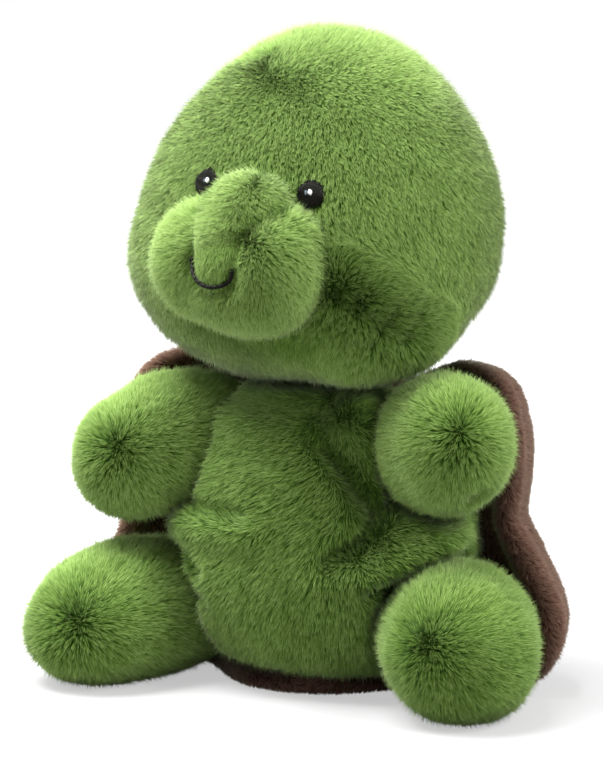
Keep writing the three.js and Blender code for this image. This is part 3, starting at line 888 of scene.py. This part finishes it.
# For each limb: where its tip's whorl lies and how its tip sags, both in mm, and how much darker its pile
# is painted, as painted shade; below 0 it is painted lighter, as painted light
limb_whorls = {
    "arm_left": ((73, -43, 104), (0, 0, 0), 0.03), "arm_right": ((-64, -45, 90), (-1, 0, -3.5), -0.06),
    "leg_left": ((64, -65, 33), (-3, -1, -1.5), 0.25), "leg_right": ((-71, -64, 30), (1, -1, -7), 0.17),
}
arm_dimple = Vector((73.5, -33, 76)) * mm     # the left arm is tacked inwards here, on its underside
dimple_depth, dimple_width = 6 * mm, 4.5
# How far the pile lies and stands, and how much darker it is painted at the whorl and in the dimple, as
# painted shade
limb_lie, limb_stand, whorl_painted_shade, dimple_painted_shade = 52, 38, 0.34, 0.6


def limb(word, whorl, sag, dark_and_shaded, count, seed):
    """One arm or leg, with its backing and its pile."""
    joint = np.array(next(j["pos_m"] for j in frame["joints"] if j["name"].startswith(word)))
    across = np.linalg.norm(np.array(whorl) * mm - joint)

    dimple = np.array(tree_of(frame["nodes"][f"{word}_cover"]).find_nearest(arm_dimple)[0])

    def dimple_nearness(points):
        off = (points - dimple) / mm * [1, 1, 0.6]
        return np.exp(-(np.linalg.norm(off, axis=1) / dimple_width) ** 2) * (word == "arm_left")

    def settle(points, ways):
        share = np.clip(np.linalg.norm(points - joint, axis=1) / across, 0, 1.1) ** 1.5
        share *= np.clip((points[:, 2] - 2 * mm) / (22 * mm), 0, 1)
        points = points + share[:, None] * np.array(sag) * mm
        rise = wave(points, 22 * mm, seed) * 0.4 * mm - dimple_nearness(points) * dimple_depth
        return points + ways * rise[:, None]

    skin = sack(f"{word}_cover_skin", [f"{word}_cover", f"{word}_stuffing"], coarse_grid, ease=12,
                inset=fur_depth, material=green_backing, body=word, shape=settle)
    tip = np.array(tree_of(skin).find_nearest(Vector(whorl) * mm)[0])

    def whorl_nearness(root):
        off = (root - tip) / mm
        off[:, 2] *= 0.7
        off += 1.5 * np.stack([wave(root, 9 * mm, seed + k) for k in range(3)], 1)
        return np.exp(-(np.linalg.norm(off, axis=1) / 8) ** 2)

    def nap(root, normal):
        return root - tip

    def lean(root, normal):
        return limb_lie - limb_stand * np.maximum(whorl_nearness(root), dimple_nearness(root))

    def shade(root, normal):
        return whorl_painted_shade * whorl_nearness(root) + dimple_painted_shade * dimple_nearness(root) + dark_and_shaded

    made = pile(f"{word}_pile", skin, green_fur, count, fur_length, fibre_width, nap, lean, seed,
                shade=shade)
    wear(made, word, "green_fur")


for seed, (word, (whorl, sag, dark_and_shaded)) in enumerate(limb_whorls.items(), start=41):
    limb(word, whorl, sag, dark_and_shaded, 70000 if word[:3] == "arm" else 90000, seed)


# Shell. A padded shield of brown plush behind the torso, edged by a rolled rim and lined with a darker
# brown. It is sewn to the torso all round the seat, waist and shoulders.

brown_fur = faux_fur("short_plush_brown", "#4a3127", "#7a5647", "#ad8b7c", "#352119", "#573b30")
dark_fur = faux_fur("short_plush_dark_brown", "#3f281f", "#70503f", "#9b7767", "#2b1a13", "#4a3026")
brown_backing = fur_backing("knitted_backing_brown", "#2e1b14", "#452c22", 1.0 * mm)
plush_length = 2.6 * mm

rim_points = surface_of(frame["nodes"]["shell_rim"])[0]
rim_low, rim_high = (np.array(corner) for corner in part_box("shell_rim"))
seam_x = (rim_low[0] + rim_high[0]) / 2
shell_middle = np.array([seam_x, 0.0, 52 * mm])
bearing = np.arctan2(rim_points[:, 2] - shell_middle[2], rim_points[:, 0] - shell_middle[0])
rim_count = 160
rim_line = []
for turn in np.linspace(0, 2 * math.pi, rim_count, endpoint=False):
    off = np.angle(np.exp(1j * (bearing - turn)))
    weight = np.exp(-(off / math.radians(3.0)) ** 2)
    rim_line.append((rim_points * weight[:, None]).sum(0) / weight.sum())
ring = np.arange(rim_count)
rim_line = eased(np.array(rim_line), np.stack([ring, (ring + 1) % rim_count], 1), 9)

# How far the soft roll lies outside the stiff form, and how fat it is, by its bearing, in degrees and mm
rim_swell = [
    (0, 0, 5.6), (9, -3.4, 5.0), (22, -2.6, 5.0), (34, -1.5, 5.0), (42, 1.5, 5.0), (52, 4.0, 5.2),
    (75, 2.5, 5.0), (110, 2.0, 5.0), (132, 3.0, 5.2), (150, 1.0, 5.2), (180, 0.5, 5.6), (205, 1.0, 5.8),
    (240, 0, 5.2), (270, 0, 5.0), (300, 0, 5.2), (325, 1.5, 5.8), (344, 2.2, 6.2), (360, 0, 5.6),
]
rim_degrees, rim_out, rim_fat = (np.array(values, float) for values in zip(*rim_swell))
turns = np.degrees(np.arctan2(rim_line[:, 2] - shell_middle[2], rim_line[:, 0] - shell_middle[0])) % 360
run = unit(np.roll(rim_line, -1, 0) - np.roll(rim_line, 1, 0))
outward = rim_line - shell_middle
outward = unit(outward - (outward * run).sum(1, keepdims=True) * run)
rim_line = rim_line + outward * np.interp(turns, rim_degrees, rim_out)[:, None] * mm
across = np.cross(run, outward)
rim_radius, rim_sides = np.interp(turns, rim_degrees, rim_fat) * mm - plush_length * 0.7, 16
rim_radius = rim_radius * (1 + 0.05 * wave(rim_line, 30 * mm, 50))
angles = np.linspace(0, 2 * math.pi, rim_sides, endpoint=False)
rim_skin_points = rim_line[:, None] + rim_radius[:, None, None] * (
    np.cos(angles)[None, :, None] * outward[:, None] + np.sin(angles)[None, :, None] * across[:, None])
rim_skin_points[..., 2] = np.maximum(rim_skin_points[..., 2], plush_length * 0.6)
rim_faces = ring_faces(rim_count, rim_sides, True)
rim_skin = piece("shell_rim_skin", rim_skin_points.reshape(-1, 3), rim_faces, brown_backing)
wear(rim_skin, "torso", "brown_plush")
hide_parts("shell_rim")


def rim_nap(root, normal):
    """Along the roll and down both its sides, and a little round it."""
    nearest = np.argmin(((root[:, None] - rim_line[None, ::4]) ** 2).sum(2), 1) * 4
    along = -run[nearest] * 0.9 * np.sign(rim_line[nearest, 0] + 1e-6)[:, None]
    return along + 0.6 * np.cross(run[nearest], normal)


rim_pile = pile("shell_rim_pile", rim_skin, brown_fur, 110000, plush_length * 1.15, 0.24 * mm, rim_nap,
                lean=44, seed=51, stray=0.45)
wear(rim_pile, "torso", "brown_plush")


def dome(name, grow, back, fullness, facing, material, slot):
    """The shell's back or its lining: rows of points from inside the roll to the deepest place."""
    deepest = np.array([seam_x, back, 38 * mm])
    start = rim_line + outward * grow + np.array([0, 2.5 * mm, 0])
    rows = []
    for turn in np.linspace(0, math.pi / 2, 46)[:-1]:
        row = deepest + (start - deepest) * math.cos(turn) ** (2 / fullness)
        row[:, 1] = start[:, 1] + (back - start[:, 1]) * math.sin(turn) ** (2 / fullness)
        rows.append(row)
    quads = ring_faces(len(rows), rim_count, False)
    inner = (len(rows) - 1) * rim_count
    fan = np.stack([inner + ring, inner + (ring + 1) % rim_count, np.full(rim_count, inner + rim_count)], 1)
    faces = np.concatenate([quads[:, [0, 1, 2]], quads[:, [0, 2, 3]], fan])
    points = np.concatenate([*rows, deepest[None]])
    a, b, c = (points[faces[:, k]] for k in range(3))
    if np.cross(b - a, c - a)[:, 1].sum() * facing < 0:
        faces = faces[:, ::-1]
    return wear(piece(name, points, faces, material), "torso", slot)


# How far the back and the lining start outside the roll's middle, and how deep they reach
cover_grow, cover_back = 2.4 * mm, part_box("shell_cover")[1].y - plush_length * 0.7
lining_grow, lining_back = -3.2 * mm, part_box("shell_lining")[1].y - 1.4 * mm
shell_skin = dome("shell_cover_skin", cover_grow, cover_back, fullness=2.2, facing=1,
                  material=brown_backing, slot="brown_plush")
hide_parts("shell_cover", "shell_stuffing")
lining_skin = dome("shell_lining_skin", lining_grow, lining_back, fullness=0.95, facing=-1,
                   material=brown_backing, slot="brown_lining")
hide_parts("shell_lining")


def down_nap(root, normal):
    """Straight down."""
    return np.tile([0.0, 0.1, -1.0], (len(root), 1))


def back_seam(root, normal):
    """The pile is worn short along the seam down the middle of the back."""
    return 1 - 0.6 * np.exp(-((root[:, 0] - seam_x) / (1.2 * mm)) ** 2)


shell_pile = pile("shell_pile", shell_skin, brown_fur, 150000, plush_length, 0.28 * mm, down_nap,
                  lean=46, seed=52, keep=back_seam)
wear(shell_pile, "torso", "brown_plush")
lining_pile = pile("shell_lining_pile", lining_skin, dark_fur, 40000, 2 * mm, 0.45 * mm, down_nap,
                   lean=50, seed=53)
wear(lining_pile, "torso", "brown_lining")


# Studio. A white board for a floor, which keeps the toy's shadow, in a white room. A large soft lamp hangs
# above and to the left, with a weaker one at each side, as in the photograph.

floor_material, tree, shader = cloth_material("matt_white_board", 1.0, 0.0, "#ffffff")
shader.inputs["Base Color"].default_value = linear("#a4a4a4")
path = add(tree, "ShaderNodeLightPath")
place = add(tree, "ShaderNodeTexCoord").outputs["Object"]
away = add(tree, "ShaderNodeVectorMath", {"operation": "LENGTH"}, _0=place).outputs["Value"]
fill = add(tree, "ShaderNodeMapRange", Value=away, From_Min=0.15, From_Max=0.45, To_Min=0.5, To_Max=1.0)
seen = path.outputs["Is Camera Ray"]
glow = add(tree, "ShaderNodeMath", {"operation": "MULTIPLY"}, _0=seen, _1=fill.outputs[0])
light = add(tree, "ShaderNodeEmission", Color=(1.0, 1.0, 1.0, 1.0), Strength=glow.outputs[0])
both = add(tree, "ShaderNodeAddShader", _0=shader.outputs[0], _1=light.outputs[0])
tree.links.new(both.outputs[0], tree.nodes["Material Output"].inputs["Surface"])
floor_side = 3.0
floor_points = [(x * floor_side, y * floor_side, 0) for x, y in ((-1, -1), (1, -1), (1, 1), (-1, 1))]
floor = piece("studio_floor", floor_points, [[0, 1, 2, 3]], floor_material)

world = bpy.data.worlds.new("white_studio")
bpy.context.scene.world = world
world.use_nodes = True
tree = world.node_tree
path = add(tree, "ShaderNodeLightPath")
room_light = 0.35
seen = path.outputs["Is Camera Ray"]
strength = add(tree, "ShaderNodeMapRange", Value=seen, To_Min=room_light, To_Max=1.0)
tree.nodes["Background"].inputs["Color"].default_value = (1.0, 1.0, 1.0, 1.0)
tree.links.new(strength.outputs[0], tree.nodes["Background"].inputs["Strength"])


def softbox(name, place, aim, side, power):
    """A square area lamp that points at a place on the toy."""
    lamp = bpy.data.lights.new(name, "AREA")
    lamp.shape, lamp.size, lamp.energy = "SQUARE", side, power
    made = bpy.data.objects.new(name, lamp)
    bpy.context.scene.collection.objects.link(made)
    made.location = place
    made.rotation_euler = (Vector(aim) - Vector(place)).to_track_quat("-Z", "Y").to_euler()


toy_middle = (0.0, 0.0, 0.12)
softbox("softbox_above_left", (-0.4, -0.2, 1.25), toy_middle, 0.8, 35.0)
softbox("softbox_left", (-1.0, -0.1, 0.45), toy_middle, 0.6, 5.0)
softbox("softbox_right", (1.0, -0.05, 0.8), toy_middle, 0.6, 11.0)

camera_data = bpy.data.cameras.new("camera")
camera_data.sensor_width, camera_data.lens = 36.0, 157.9
camera_data.clip_end = 20.0
camera = bpy.data.objects.new("camera", camera_data)
bpy.context.scene.collection.objects.link(camera)
bpy.context.scene.camera = camera
azimuth, elevation, distance = view_side, math.radians(8), 1.2
back = Vector((math.sin(azimuth) * math.cos(elevation), -math.cos(azimuth) * math.cos(elevation),
               math.sin(elevation)))
aim = Vector((-0.0067, -0.0031, 0.1095))
camera.location = aim + back * distance
camera.rotation_euler = back.to_track_quat("Z", "Y").to_euler()

bpy.context.scene.view_settings.view_transform = "Standard"
